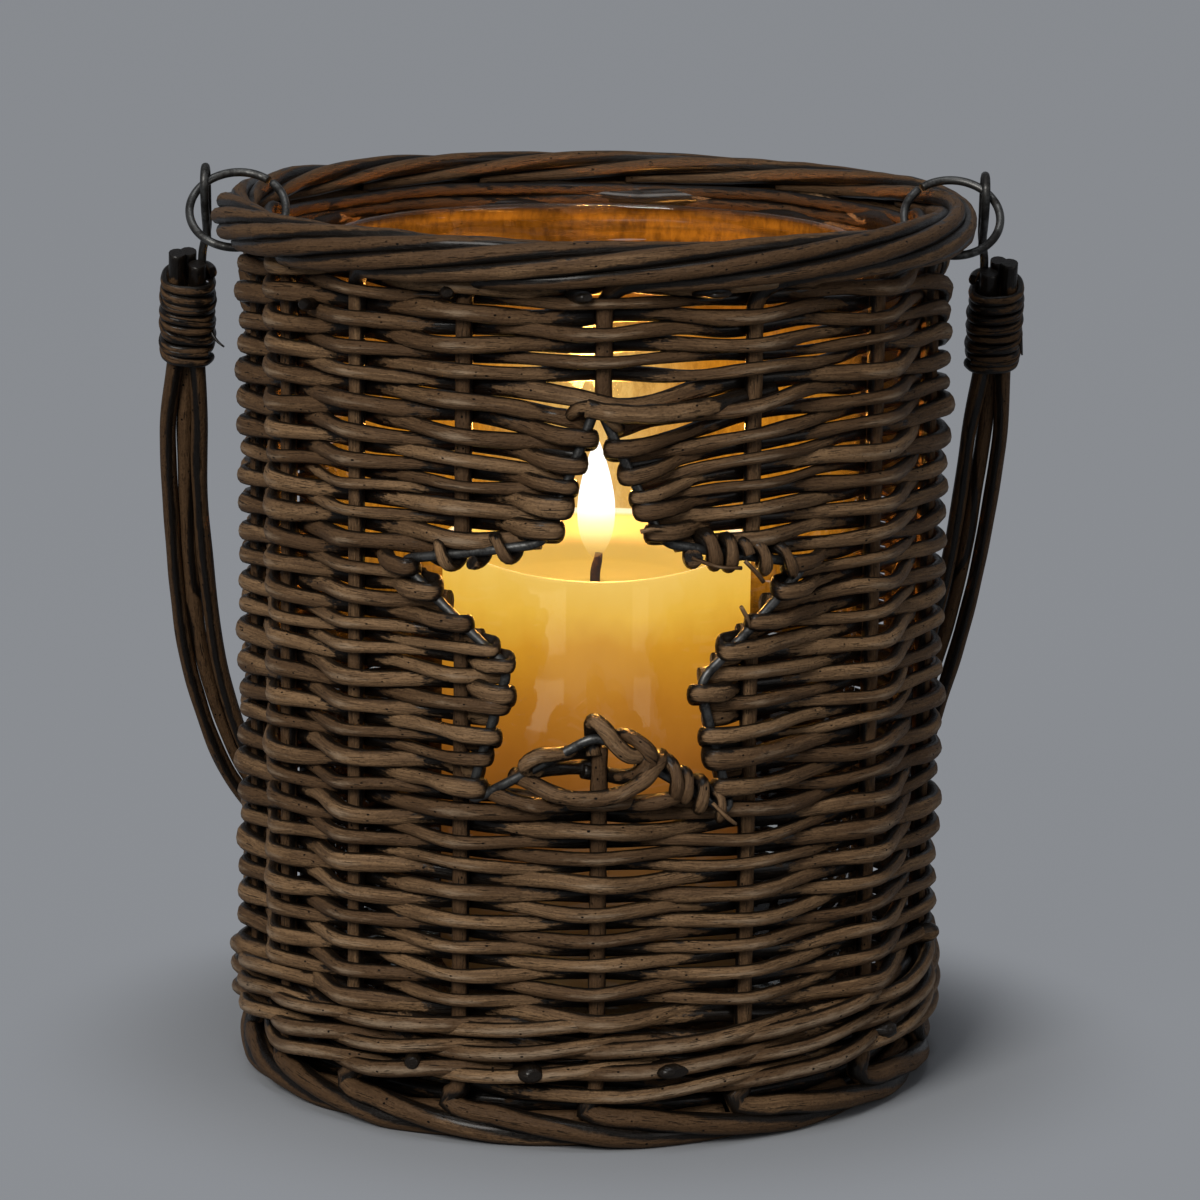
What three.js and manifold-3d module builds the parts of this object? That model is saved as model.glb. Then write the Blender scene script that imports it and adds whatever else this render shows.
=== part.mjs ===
// A round willow lantern: a woven wall with a star left open at the front, a glass liner holding a
// pillar candle, and a handle of bound rods that swings on two wire rings in the rim.
// Lengths are in millimetres, angles in degrees. Z is up, the front faces -Y, the floor is Z = 0.
import * as THREE from "three";
import { mergeVertices } from "three/addons/utils/BufferGeometryUtils.js";
import Module from "manifold-3d";

const gap = 0.3; // air left between pieces that touch

// Stakes: the upright rods, closer together on the left than on the right
const stakeCount = 15;
const stakeRadius = 2.1;
const stakeCircle = 86.5;
const frontStakeAngle = 1.8;
const stakeCrowding = 13;
const boreRadius = 2.6;

// Woven wall: the siding on top of the upsett wale
const wallInner = 80.5;
const wallOuter = 92.5;
const waleBottom = 13.9;
const waleTop = 31.8;
const sidingBottom = waleTop + gap;
const sidingTop = 210;
const sidingRows = 52;
const rowPitch = (sidingTop - sidingBottom) / sidingRows;
// How far out a row's outside lies: over a stake, where it has gone behind one, and midway between two
const rowFront = wallOuter;
const rowBehind = stakeCircle + boreRadius + gap;
const rowBetween = 87;

// Rolled borders: each stake end winds about the border's core while passing its neighbours
const rim = { radius: 92, height: 221.5, coil: 4.7, from: -100, to: 140, passes: 4, leaves: 210.3 };
const foot = { radius: 84.5, height: 6.4, coil: 4.8, from: 70, to: -170, passes: 4, leaves: 13.4 };
const elbowShare = 0.08;
const sweepSteps = 8;

// Base disc held between the foot border and the wale
const baseRadius = 83;
const baseThickness = 5.2;
const baseTop = waleBottom + baseThickness;

// Star: corners as distance across the front and height, starting at the right foot
const starCorners = [
  [36.2, 85.2], [2.1, 106.2], [-29.9, 87.6], [-19.7, 122.2], [-48.9, 146.8],
  [-11.3, 153.4], [1.3, 188], [17.6, 153.6], [56.5, 146.1], [27.2, 118.8],
];
const starCircle = 90.3;
const starWireRadius = 1.25;
const starBend = 4;
const starMargin = 1.75;
const wireEndGap = 0.8;

// Glass liner and candle
const glassRadius = 69;
const glassWall = 2.5;
const glassFloor = 5;
const glassHeight = 197;
const glassBottom = baseTop + gap;
const candleRadius = 40;
const candleShift = 1.5;
const candleBottom = glassBottom + glassFloor + gap;
const candleTop = 139;
const poolHeight = 126.5;
const wickRadius = 1.1;
const wickBottom = 118;
const wickTop = 134;

// Rings: wire hoops that hang through the wall under the rim border
const hangWire = 1.1;
const ringRadius = 12.4;
const ringAcross = 92;
const ringBack = -1;
const ringBottom = 212.6;
const ringLean = 46;
const ringSplit = 3;

// Handle: three rods, bound at each end with a wire eye that hooks into its ring
const hookAngle = 45;
const hookAcross = ringAcross + ringRadius * Math.sin(rad(hookAngle));
const hookRise = ringRadius * (1 + Math.cos(rad(hookAngle)));
const handleTilt = 21.3;
const handleRodRadius = 2.15;
const bindingRadius = 1.1;
const bindingTurns = 8;
const bindingSteps = 18;
const bindingPitch = 3;
const bindingStart = 7;
const eyeRadius = 4.3;
// The handle's line as distance across and distance below the hooks
const handleLine = [
  [-106, 20], [-107.3, 51], [-109.1, 93], [-108.2, 124], [-104.4, 156], [-95, 186], [-74, 210], [-40, 226.5],
  [0, 231.5], [38, 226], [69, 208], [84, 186], [92.4, 156], [98.8, 124], [102.6, 93], [105.1, 51], [105.5, 20],
];
// Where each rod lies in the bundle, across and through it: bound at the ends, spread in between
const bundle = [
  { name: "outer", bound: [-2.6, -1.5], spread: [-4.45, -0.4], start: 0 },
  { name: "inner", bound: [2.6, -1.5], spread: [4.45, -0.4], start: 3 },
  { name: "back", bound: [0, 2.4], spread: [0, 0.7], start: 1.5 },
];
const shankPlace = [3.7, 2.4];
const spreadFrom = 36;
const spreadTo = 75;

const willow = { color: 0x6b4a33, roughness: 0.75, metalness: 0 };
const steel = { color: 0x4a4c50, roughness: 0.45, metalness: 1 };
const clear = { color: 0xdfe8ea, roughness: 0.05, metalness: 0, transparent: true, opacity: 0.35 };
const wax = { color: 0xf0d9a8, roughness: 0.5, metalness: 0 };
const char = { color: 0x241a14, roughness: 0.9, metalness: 0 };

const wasm = await Module();
wasm.setup();

function rad(degrees) {
  return (degrees * Math.PI) / 180;
}

function at(x, y, z) {
  return new THREE.Vector3(x, y, z);
}

// A point round the basket: the angle counts from the front towards the right
function polar(radius, degrees, z) {
  return at(radius * Math.sin(rad(degrees)), -radius * Math.cos(rad(degrees)), z);
}

function span(count) {
  return Array.from({ length: count + 1 }, (_, i) => i / count);
}

function mix(a, b, t) {
  return a + (b - a) * t;
}

// The line of a rod: its own points, with a section that turns only as the bends turn it
class RodLine extends THREE.Curve {
  constructor(points) {
    super();
    this.points = points;
  }

  getPoint(t, target = new THREE.Vector3()) {
    return target.copy(this.points[Math.round(t * (this.points.length - 1))]);
  }

  getPointAt(u, target) {
    return this.getPoint(u, target);
  }

  computeFrenetFrames() {
    const last = this.points.length - 1;
    const tangents = this.points.map((_, i) => {
      const ahead = this.points[Math.min(i + 1, last)];
      return ahead.clone().sub(this.points[Math.max(i - 1, 0)]).normalize();
    });
    let normal = Math.abs(tangents[0].z) > 0.8 ? at(1, 0, 0) : at(0, 0, 1);
    const normals = tangents.map((t) => {
      normal = normal.clone().addScaledVector(t, -normal.dot(t)).normalize();
      return normal;
    });
    const binormals = tangents.map((t, i) => t.clone().cross(normals[i]));
    return { tangents, normals, binormals };
  }
}

function rod(points, radius, sides) {
  const corners = span(sides).slice(0, sides);
  const section = corners.map((u) => {
    const turn = 2 * Math.PI * u;
    return new THREE.Vector2(radius * Math.cos(turn), radius * Math.sin(turn));
  });
  const line = new RodLine(points);
  const options = { steps: points.length - 1, extrudePath: line };
  return new THREE.ExtrudeGeometry(new THREE.Shape(section), options);
}

function turned(profile, segments) {
  const points = profile.map(([r, z]) => new THREE.Vector2(r, z));
  return new THREE.LatheGeometry(points, segments).rotateX(Math.PI / 2);
}

function toSolid(geometry) {
  const loose = geometry.index ? geometry.toNonIndexed() : geometry;
  const bare = new THREE.BufferGeometry().setAttribute("position", loose.getAttribute("position"));
  const merged = mergeVertices(bare, 1e-4);
  return new wasm.Manifold(new wasm.Mesh({
    numProp: 3,
    vertProperties: merged.getAttribute("position").array,
    triVerts: new Uint32Array(merged.index.array),
  }));
}

function toGeometry(solid) {
  const mesh = solid.getMesh();
  return new THREE.BufferGeometry()
    .setAttribute("position", new THREE.BufferAttribute(mesh.vertProperties, 3))
    .setIndex(new THREE.BufferAttribute(mesh.triVerts, 1));
}

const lantern = new THREE.Group();
lantern.name = "lantern";

function add(name, geometry, finish, parent = lantern) {
  const mesh = new THREE.Mesh(geometry, new THREE.MeshStandardMaterial(finish));
  mesh.name = name;
  parent.add(mesh);
}

// Stakes and borders

function stakeAngle(i) {
  const even = (360 / stakeCount) * i;
  return frontStakeAngle + even + stakeCrowding * (1 - Math.cos(rad(even)));
}

// Where the end of stake i lies in a border, t of the way along, as radius, angle and height
function borderPlace(border, i, t) {
  const turn = rad(mix(border.from, border.to, t));
  return [
    border.radius + border.coil * Math.cos(turn),
    stakeAngle(i + border.passes * t),
    border.height + border.coil * Math.sin(turn),
  ];
}

// The stake leaves its upright in a short elbow, then winds about the border's core to its end
function borderEnd(border, i) {
  const angle = stakeAngle(i);
  const start = [stakeCircle, angle, border.leaves];
  const end = borderPlace(border, i, elbowShare);
  const corner = [mix(start[0], end[0], 0.25), angle + 0.5, end[2]];
  const elbow = span(4).slice(0, 4).map((t) => {
    const bend = start.map((a, k) => mix(mix(a, corner[k], t), mix(corner[k], end[k], t), t));
    return polar(...bend);
  });
  const sweep = span(sweepSteps).map((t) => polar(...borderPlace(border, i, mix(elbowShare, 1, t))));
  return [...elbow, ...sweep];
}

const underFloor = toSolid(new THREE.BoxGeometry(300, 300, 20).translate(0, 0, -10));

function footTrimmed(geometry) {
  return toGeometry(toSolid(geometry).subtract(underFloor));
}

// The heights between which the star interrupts a stake, or none
function starCut(angle) {
  const across = rad(angle) * starCircle;
  const heights = starOutline(0).flatMap((p, i, all) => {
    const q = all[(i + 1) % all.length];
    const share = (across - p.x) / (q.x - p.x);
    return share >= 0 && share < 1 ? [mix(p.y, q.y, share)] : [];
  });
  return heights.length ? [Math.min(...heights), Math.max(...heights)] : [];
}

function stakes() {
  for (let n = 0; n < stakeCount; n++) {
    const i = n > stakeCount / 2 ? n - stakeCount : n;
    const label = "stake_" + String(n + 1).padStart(2, "0");
    const lower = borderEnd(foot, i).reverse();
    const upper = borderEnd(rim, i);
    const cut = starCut(stakeAngle(i));
    if (cut.length) {
      const [from, to] = cut;
      lower.push(polar(stakeCircle, stakeAngle(i), from - 2.6));
      upper.unshift(polar(stakeCircle, stakeAngle(i), to + 2.6));
      add(label + "_lower", footTrimmed(rod(lower, stakeRadius, 6)), willow);
      add(label + "_upper", rod(upper, stakeRadius, 6), willow);
    } else {
      add(label, footTrimmed(rod([...lower, ...upper], stakeRadius, 6)), willow);
    }
  }
}

// Star

// The star's outline, moved outwards by the given distance, with each corner bent round
function starOutline(grow) {
  const raw = starCorners.map(([x, y]) => new THREE.Vector2(x, y));
  const n = raw.length;
  const outward = raw.map((p, i) => {
    const edge = raw[(i + 1) % n].clone().sub(p).normalize();
    return new THREE.Vector2(-edge.y, edge.x);
  });
  const corners = raw.map((p, i) => {
    const a = outward[(i + n - 1) % n];
    const b = outward[i];
    return p.clone().addScaledVector(a.clone().add(b), grow / (1 + a.dot(b)));
  });
  const towards = (p, q) => p.clone().lerp(q, starBend / p.distanceTo(q));
  return corners.flatMap((p, i) => {
    const next = corners[(i + 1) % n];
    const bend = new THREE.QuadraticBezierCurve(towards(p, corners.at(i - 1)), p, towards(p, next));
    const from = towards(p, next);
    const to = towards(next, p);
    return [...bend.getPoints(3), from.clone().lerp(to, 1 / 3), from.clone().lerp(to, 2 / 3)];
  });
}

function onStar(point, radius = starCircle) {
  return polar(radius, ((point.x / starCircle) * 180) / Math.PI, point.y);
}

// The wire's line round the star, whose two ends meet at the right foot
function starLine() {
  const outline = starOutline(0);
  const first = outline[0];
  const last = outline.at(-1);
  outline.push(first.clone().lerp(last, wireEndGap / first.distanceTo(last)));
  return outline.map((p) => onStar(p));
}

// The space the star leaves in the wall: its outline carried straight out from the axis
function starSpace() {
  const inner = 60;
  const outer = 120;
  const outline = new THREE.Shape(starOutline(starMargin).reverse());
  const block = new THREE.ExtrudeGeometry(outline, { depth: outer - inner, bevelEnabled: false });
  const position = block.getAttribute("position");
  for (let i = 0; i < position.count; i++) {
    const p = onStar(new THREE.Vector2(position.getX(i), position.getY(i)), inner + position.getZ(i));
    position.setXYZ(i, p.x, p.y, p.z);
  }
  return toSolid(block).add(toSolid(rod(starLine(), starMargin, 6)));
}

// Wall and base

// The outside of the siding: one row climbs on the next in a spiral, in front of one stake and behind the
// next, so a grid along the spiral has a column at each stake and one midway. It is shut at the axis.
function wovenBody() {
  const columns = 2 * stakeCount;
  const last = columns * (sidingRows + 3);
  const reach = [];
  const places = [];
  for (let i = 0; i <= last; i++) {
    const stake = (i % columns) / 2 - stakeCount / 2;
    const passes = Math.round(Math.cos(Math.PI * (stake + Math.floor(i / columns) - 1)) * 10);
    reach.push(passes > 0 ? rowFront : passes < 0 ? rowBehind : rowBetween);
    places.push(polar(reach[i], stakeAngle(stake), sidingBottom + rowPitch * (i / columns - 1)));
  }
  const low = places.push(at(0, 0, places[0].z)) - 1;
  const high = places.push(at(0, 0, places[last].z)) - 1;
  const faces = [[low, 0, columns], [high, last, last - columns]];
  for (let i = 0; i < columns; i++) {
    faces.push([low, i + 1, i], [high, last - columns + i, last - columns + i + 1]);
  }
  for (let a = 0; a < last - columns; a++) {
    const [b, c, d] = [a + 1, a + columns + 1, a + columns];
    const sunk = reach[a] === rowBehind || reach[c] === rowBehind;
    faces.push(...(sunk ? [[a, b, c], [a, c, d]] : [[a, b, d], [b, c, d]]));
  }
  const body = new THREE.BufferGeometry().setFromPoints(places);
  return toSolid(body.setIndex(faces.flat()));
}

function bored(wall, bottom, top) {
  for (let i = 0; i < stakeCount; i++) {
    const bore = new THREE.CylinderGeometry(boreRadius, boreRadius, top - bottom + 2, 8);
    const { x, y } = polar(stakeCircle, stakeAngle(i), 0);
    bore.rotateX(Math.PI / 2).translate(x, y, (bottom + top) / 2);
    wall = wall.subtract(toSolid(bore));
  }
  return wall;
}

function walls() {
  const clearOf = wallOuter + 5;
  const siding = [
    [wallInner, sidingBottom], [clearOf, sidingBottom], [clearOf, sidingTop],
    [wallInner, sidingTop], [wallInner, sidingBottom],
  ];
  const seat = baseRadius + gap;
  const seatTop = baseTop + gap;
  const wale = [
    [seat, waleBottom], [wallOuter, waleBottom], [wallOuter, waleTop],
    [wallInner, waleTop], [wallInner, seatTop], [seat, seatTop], [seat, waleBottom],
  ];
  const woven = toSolid(turned(siding, 60)).intersect(wovenBody());
  const open = bored(woven, sidingBottom, sidingTop).subtract(starSpace());
  add("siding_weave", toGeometry(open), willow);
  add("upsett_wale", toGeometry(bored(toSolid(turned(wale, 60)), waleBottom, waleTop)), willow);
  const disc = [
    [0, waleBottom], [baseRadius - 1, waleBottom], [baseRadius, waleBottom + 1],
    [baseRadius, baseTop - 1], [baseRadius - 1, baseTop], [0, baseTop],
  ];
  add("base_disc", turned(disc, 48), willow);
}

// Glass, candle and wick

function liner() {
  const top = glassBottom + glassHeight;
  const inner = glassRadius - glassWall;
  const floor = glassBottom + glassFloor;
  const glass = [
    [0, glassBottom], [glassRadius - 2, glassBottom], [glassRadius, glassBottom + 2],
    [glassRadius, top - 0.8], [glassRadius - 0.8, top], [inner + 0.8, top], [inner, top - 0.8],
    [inner, floor + 2], [inner - 2, floor], [0, floor],
  ];
  add("glass_liner", turned(glass, 48), clear);
  const hole = wickRadius + gap;
  const pillar = [
    [0, candleBottom], [candleRadius - 1, candleBottom], [candleRadius, candleBottom + 1],
    [candleRadius, candleTop - 2.5], [candleRadius - 1.2, candleTop], [candleRadius - 3.5, candleTop - 1],
    [candleRadius - 7, poolHeight + 5], [candleRadius - 14, poolHeight + 1], [hole, poolHeight],
    [hole, wickBottom], [0, wickBottom],
  ];
  add("candle", turned(pillar, 40).translate(candleShift, 0, 0), wax);
  const wick = [wickBottom + gap, mix(wickBottom, wickTop, 0.7), wickTop];
  const lean = [0, 0, 0.9];
  add("wick", rod(wick.map((z, k) => at(candleShift + lean[k], 0, z)), wickRadius, 8), char);
}

// Rings

// A hoop standing on its lowest point and split on the side away from the handle
function ring(side) {
  const hoop = span(26).map((u) => {
    const turn = rad(mix(ringSplit, 360 - ringSplit, u) + 40);
    return at(-side * ringRadius * Math.sin(turn), 0, ringRadius * (1 + Math.cos(turn)));
  });
  return rod(hoop, hangWire, 6);
}

function rings() {
  for (const [name, side] of [["ring_left", -1], ["ring_right", 1]]) {
    const seat = new THREE.Group();
    seat.position.set(side * ringAcross, ringBack, ringBottom);
    seat.rotation.x = -rad(ringLean);
    add(name, ring(side), steel, seat);
    lantern.add(seat);
  }
}

// Handle

const handleCurve = new THREE.CatmullRomCurve3(handleLine.map(([x, s]) => at(x, 0, -s)));
handleCurve.arcLengthDivisions = 600;
const handleLength = handleCurve.getLength();

// A place in the bundle: distance along the handle, then across it inwards and through it backwards
function inBundle(along, across, through) {
  const u = THREE.MathUtils.clamp(along / handleLength, 0, 1);
  const t = handleCurve.getTangentAt(u);
  const p = handleCurve.getPointAt(u);
  return at(p.x - t.z * across, through, p.z + t.x * across);
}

function handleRod({ bound, spread, start }) {
  const points = span(36).map((u) => {
    const along = mix(start, handleLength - start, u);
    const near = Math.min(along, handleLength - along);
    const loose = THREE.MathUtils.smoothstep(near, spreadFrom, spreadTo);
    return inBundle(along, mix(bound[0], spread[0], loose), mix(bound[1], spread[1], loose));
  });
  return rod(points, handleRodRadius, 6);
}

// Distance along the handle from its left end, or from its right end
function fromEnd(side, distance) {
  return side < 0 ? distance : handleLength - distance;
}

// A willow strip wound about the bundle as one helix on a rounded square
function binding(side) {
  const steps = bindingSteps * bindingTurns;
  const soft = (v) => Math.sign(v) * Math.abs(v) ** 0.72;
  const helix = span(steps).map((u) => {
    const turn = 2 * Math.PI * bindingTurns * u;
    const along = bindingStart + bindingPitch * bindingTurns * u;
    return inBundle(fromEnd(side, along), 0.2 + 6.5 * soft(Math.cos(turn)), 0.45 + 5.8 * soft(Math.sin(turn)));
  });
  const lead = (p, q) => p.clone().addScaledVector(p.clone().sub(q).normalize(), 2 * bindingRadius);
  helix.unshift(lead(helix[0], helix[1]));
  helix.push(lead(helix.at(-1), helix.at(-2)));
  return helix;
}

// The least air between turns, measured between points at least half a turn apart
function leastGap(points, radius) {
  let least = Infinity;
  points.forEach((p, i) => {
    for (let k = i + bindingSteps / 2; k < points.length; k++) least = Math.min(least, p.distanceTo(points[k]));
  });
  return least - 2 * radius;
}

// The eye: a shank in the bundle that runs up into an open loop round the ring's wire
function eye(side) {
  const shank = [26, 18, 10, 2].map((d) => inBundle(fromEnd(side, d), ...shankPlace));
  const x = side * hookAcross;
  const neck = [[13.5, 2.5], [9, 3.2], [4.5, 4.1]].map(([s, n]) => at(x, n, -s));
  const loop = span(10).map((u) => {
    return at(x, eyeRadius * Math.cos(Math.PI * u), eyeRadius * Math.sin(Math.PI * u));
  });
  const tail = [[4.5, -4.1], [9, -2.6], [13, -0.9], [17, -0.5]].map(([s, n]) => at(x, n, -s));
  return rod([...shank, ...neck, ...loop, ...tail], hangWire, 6);
}

function handle() {
  const swing = new THREE.Group();
  const lean = rad(ringLean);
  const hook = [ringBack + hookRise * Math.sin(lean), ringBottom + hookRise * Math.cos(lean)];
  swing.position.set(0, ...hook);
  swing.rotation.x = rad(handleTilt);
  for (const part of bundle) add("handle_rod_" + part.name, handleRod(part), willow, swing);
  for (const [name, side] of [["left", -1], ["right", 1]]) {
    const strip = binding(side);
    console.log("binding_" + name, "least gap", leastGap(strip, bindingRadius).toFixed(2), "mm");
    add("binding_" + name, rod(strip, bindingRadius, 6), willow, swing);
    add("eye_" + name, eye(side), steel, swing);
  }
  lantern.add(swing);
  console.log("handle pivot", hook.map((v) => v.toFixed(2)).join(" "));
}

stakes();
add("star_wire", rod(starLine(), starWireRadius, 6), steel);
walls();
liner();
rings();
handle();

export default lantern;
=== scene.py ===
import bpy
import numpy as np
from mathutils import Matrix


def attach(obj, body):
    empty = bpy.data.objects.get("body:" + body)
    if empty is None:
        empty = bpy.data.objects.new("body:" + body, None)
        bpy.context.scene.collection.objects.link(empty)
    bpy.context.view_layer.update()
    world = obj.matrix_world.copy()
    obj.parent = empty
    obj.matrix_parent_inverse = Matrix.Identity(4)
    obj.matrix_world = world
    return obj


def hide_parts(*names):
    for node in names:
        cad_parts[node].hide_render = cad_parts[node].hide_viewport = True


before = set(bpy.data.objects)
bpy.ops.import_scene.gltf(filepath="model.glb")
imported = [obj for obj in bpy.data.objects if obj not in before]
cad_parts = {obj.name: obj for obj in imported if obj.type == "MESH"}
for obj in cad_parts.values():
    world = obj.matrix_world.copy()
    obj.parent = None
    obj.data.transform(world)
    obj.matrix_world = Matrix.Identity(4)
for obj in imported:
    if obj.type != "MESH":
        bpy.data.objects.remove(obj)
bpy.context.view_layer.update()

scene = bpy.context.scene
scene.view_settings.view_transform = "Standard"
millimetre = 0.001


# Camera, floor and light

shot = {
    "place": (0.00245, -1.3424, 0.3947),
    "pitch": 11.51,  # degrees below level
    "roll": 0.653,
    "lens": 158.17,
    "sensor": 36.0,
    "clip": (0.05, 100.0),
    "backdrop": (140, 143, 148),
}


def tint(red, green, blue):
    # A colour picked on a 0 to 255 scale, as the shader's linear values
    share = np.array([red, green, blue]) / 255
    linear = np.where(share <= 0.04045, share / 12.92, ((share + 0.055) / 1.055) ** 2.4)
    return (*linear.tolist(), 1.0)


def rowsOf(keys, *rows):
    # A dictionary for each row, its values in the order of the keys
    return [dict(zip(keys.split(), row)) for row in rows]


class Flow:
    # One socket of a finish, so that shader maths reads as a sum
    def __init__(self, finish, socket):
        self.finish = finish
        self.socket = socket

    def maths(self, operation, first, second=0.0):
        return self.finish.node("Math", {0: first, 1: second}, {"operation": operation})

    def __add__(self, other):
        return self.maths("ADD", self, other)

    def __sub__(self, other):
        return self.maths("SUBTRACT", self, other)

    def __rsub__(self, other):
        return self.maths("SUBTRACT", other, self)

    def __mul__(self, other):
        return self.maths("MULTIPLY", self, other)

    def __pow__(self, other):
        return self.maths("POWER", self, other)

    def __abs__(self):
        return self.maths("ABSOLUTE", self)

    __radd__ = __add__
    __rmul__ = __mul__

    def eased(self, low, high):
        # 0 at low, 1 at high, with a soft start and stop
        sockets = {"Value": self, "From Min": low, "From Max": high}
        return self.finish.node("MapRange", sockets, {"interpolation_type": "SMOOTHSTEP"})


class Finish:
    # The nodes of a material or the world, and the one method that adds to them
    def __init__(self, owner):
        owner.use_nodes = True
        self.owner = owner
        self.tree = owner.node_tree
        self.tree.nodes.clear()

    def node(self, kind, sockets=None, settings=None, out=0):
        made = self.tree.nodes.new("ShaderNode" + kind)
        for key, value in (settings or {}).items():
            setattr(made, key, value)
        for key, value in (sockets or {}).items():
            if isinstance(value, Flow):
                self.tree.links.new(value.socket, made.inputs[key])
            else:
                made.inputs[key].default_value = value
        return Flow(self, made.outputs[out]) if len(made.outputs) else None

    def mixed(self, share, first, second):
        settings = {"data_type": "RGBA", "clamp_factor": True}
        return self.node("Mix", {0: share, 6: first, 7: second}, settings, 2)

    def ramp(self, share, stops):
        found = self.node("ValToRGB", {"Fac": share})
        band = found.socket.node.color_ramp.elements
        while len(band) < len(stops):
            band.new(0.5)
        for stop, (place, colour) in zip(band, stops):
            stop.position, stop.color = place, colour
        return found

    def spot(self):
        # Where a point lies on its own piece, in metres
        return self.node("TexCoord", out=3)

    def stored(self, title):
        return self.node("Attribute", None, {"attribute_name": title}, 1)

    def scaled(self, vector, scale):
        return self.node("VectorMath", {0: vector, 1: scale}, {"operation": "MULTIPLY"})

    def noise(self, vector, scale, detail=2.0, roughness=0.5):
        vector = self.scaled(vector, scale)
        sockets = {"Vector": vector, "Scale": 1.0, "Detail": detail, "Roughness": roughness}
        return self.node("TexNoise", sockets)

    def parts(self, vector):
        split = self.node("SeparateXYZ", {0: vector})
        return [Flow(self, socket) for socket in split.socket.node.outputs]

    def bump(self, strength, distance, height):
        sockets = {"Strength": strength, "Distance": distance, "Height": height}
        return self.node("Bump", sockets)

    def blend(self, share, first, second):
        return self.node("MixShader", {0: share, 1: first, 2: second})

    def seen(self):
        # 1 where the camera, a gloss or clear glass looks at it, 0 for light that only bounces off
        path = self.node("LightPath").socket.node.outputs
        rays = [Flow(self, path["Is %s Ray" % name]) for name in ("Camera", "Glossy", "Transmission")]
        return rays[0] + rays[1] + rays[2]

    def show(self, shader, output="OutputMaterial"):
        self.node(output, {"Surface": shader})

    def showSolid(self, sockets):
        self.show(self.node("BsdfPrincipled", sockets))


def newFinish(name):
    return Finish(bpy.data.materials.new(name))


def added(name, data):
    made = bpy.data.objects.new(name, data)
    scene.collection.objects.link(made)
    return made


def makeCamera():
    data = bpy.data.cameras.new("camera")
    data.lens, data.sensor_width = shot["lens"], shot["sensor"]
    data.clip_start, data.clip_end = shot["clip"]
    camera = added("camera", data)
    camera.location = shot["place"]
    camera.rotation_euler = (np.radians(90 - shot["pitch"]), 0.0, 0.0)
    camera.rotation_euler.rotate_axis("Z", np.radians(shot["roll"]))
    scene.camera = camera


# Shade is left under the basket, and further out the floor takes the backdrop's tone
ground = {"reach": 30.0, "shade": (0.092, 0.16), "even": 0.92}


def makeFloor():
    # A flat square far larger than the picture, whose tone the camera sees almost even
    reach = ground["reach"]
    corners = [(-reach, -reach, 0), (reach, -reach, 0), (reach, reach, 0), (-reach, reach, 0)]
    mesh = bpy.data.meshes.new("floor")
    mesh.from_pydata(corners, [], [(0, 1, 2, 3)])
    floor = added("floor", mesh)
    paint = newFinish("floorPaint")
    tone = tint(*shot["backdrop"])
    lit = paint.node("BsdfDiffuse", {"Color": tone})
    even = paint.node("Emission", {"Color": tone})
    x, y, _ = paint.parts(paint.spot())
    away = ((x * x + y * y) ** 0.5).eased(*ground["shade"])
    paint.show(paint.blend(paint.seen() * away * ground["even"], lit, even))
    mesh.materials.append(paint.owner)


def makeWorld():
    # The backdrop's tone for the camera, glass and metal, and a dimmer air for the rest
    scene.world = bpy.data.worlds.new("studio")
    air = Finish(scene.world)
    tone = tint(*shot["backdrop"])
    dim, full = (air.node("Background", {"Color": tone, "Strength": power}) for power in (0.4, 1.0))
    air.show(air.blend(air.seen(), dim, full), "OutputWorld")


# Three soft lamps, and two low cards outside the picture that the glass mirrors
lamps = rowsOf(
    "name place size power colour",
    ("key", (-0.75, -1.6, 1.2), (0.8, 0.8), 37.0, (1.0, 0.97, 0.92)),
    ("top", (-0.1, -0.3, 1.7), (0.9, 0.9), 8.0, (0.96, 0.98, 1.0)),
    ("fill", (1.5, -1.2, 0.7), (1.0, 1.0), 5.0, (1.0, 0.97, 0.93)),
    ("cardLeft", (-0.13, -0.40, 0.026), (0.12, 0.02), 0.012, (1.0, 0.96, 0.68)),
    ("cardRight", (0.15, -0.40, 0.026), (0.05, 0.02), 0.003, (1.0, 0.96, 0.68)),
)
lampsAim = (0.0, 0.0, 0.11)


def makeLamps():
    for lamp in lamps:
        data = bpy.data.lights.new(lamp["name"], "AREA")
        data.shape = "RECTANGLE"
        (data.size, data.size_y), data.energy, data.color = lamp["size"], lamp["power"], lamp["colour"]
        soft = added(lamp["name"], data)
        soft.location = lamp["place"]
        aim = np.array(lampsAim) - np.array(lamp["place"])
        flat = np.hypot(aim[0], aim[1])
        soft.rotation_euler = (np.arctan2(flat, -aim[2]), 0.0, np.arctan2(aim[1], aim[0]) - np.pi / 2)


makeCamera()
makeFloor()
makeWorld()
makeLamps()
print("camera, floor and lamps are up")


# Shared shapes

join = np.concatenate
upward = np.array([0, 0, 1.0])


def unit(vectors):
    return vectors / np.linalg.norm(vectors, axis=-1, keepdims=True)


def around(radius, angle, height):
    # A place round the basket: the angle counts from the front towards the right
    radius, angle, height = np.broadcast_arrays(radius, angle, height)
    return np.stack([radius * np.sin(angle), -radius * np.cos(angle), height], -1)


def outOf(points):
    # Straight out from the basket's axis, level
    return unit(points * np.array([1.0, 1.0, 0.0]) + np.array([1e-9, 0, 0]))


def soften(value, low, high):
    # 0 at low, 1 at high: three times the share squared less twice its cube
    share = np.clip((value - low) / (high - low), 0, 1)
    return share * share * (3 - 2 * share)


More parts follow.
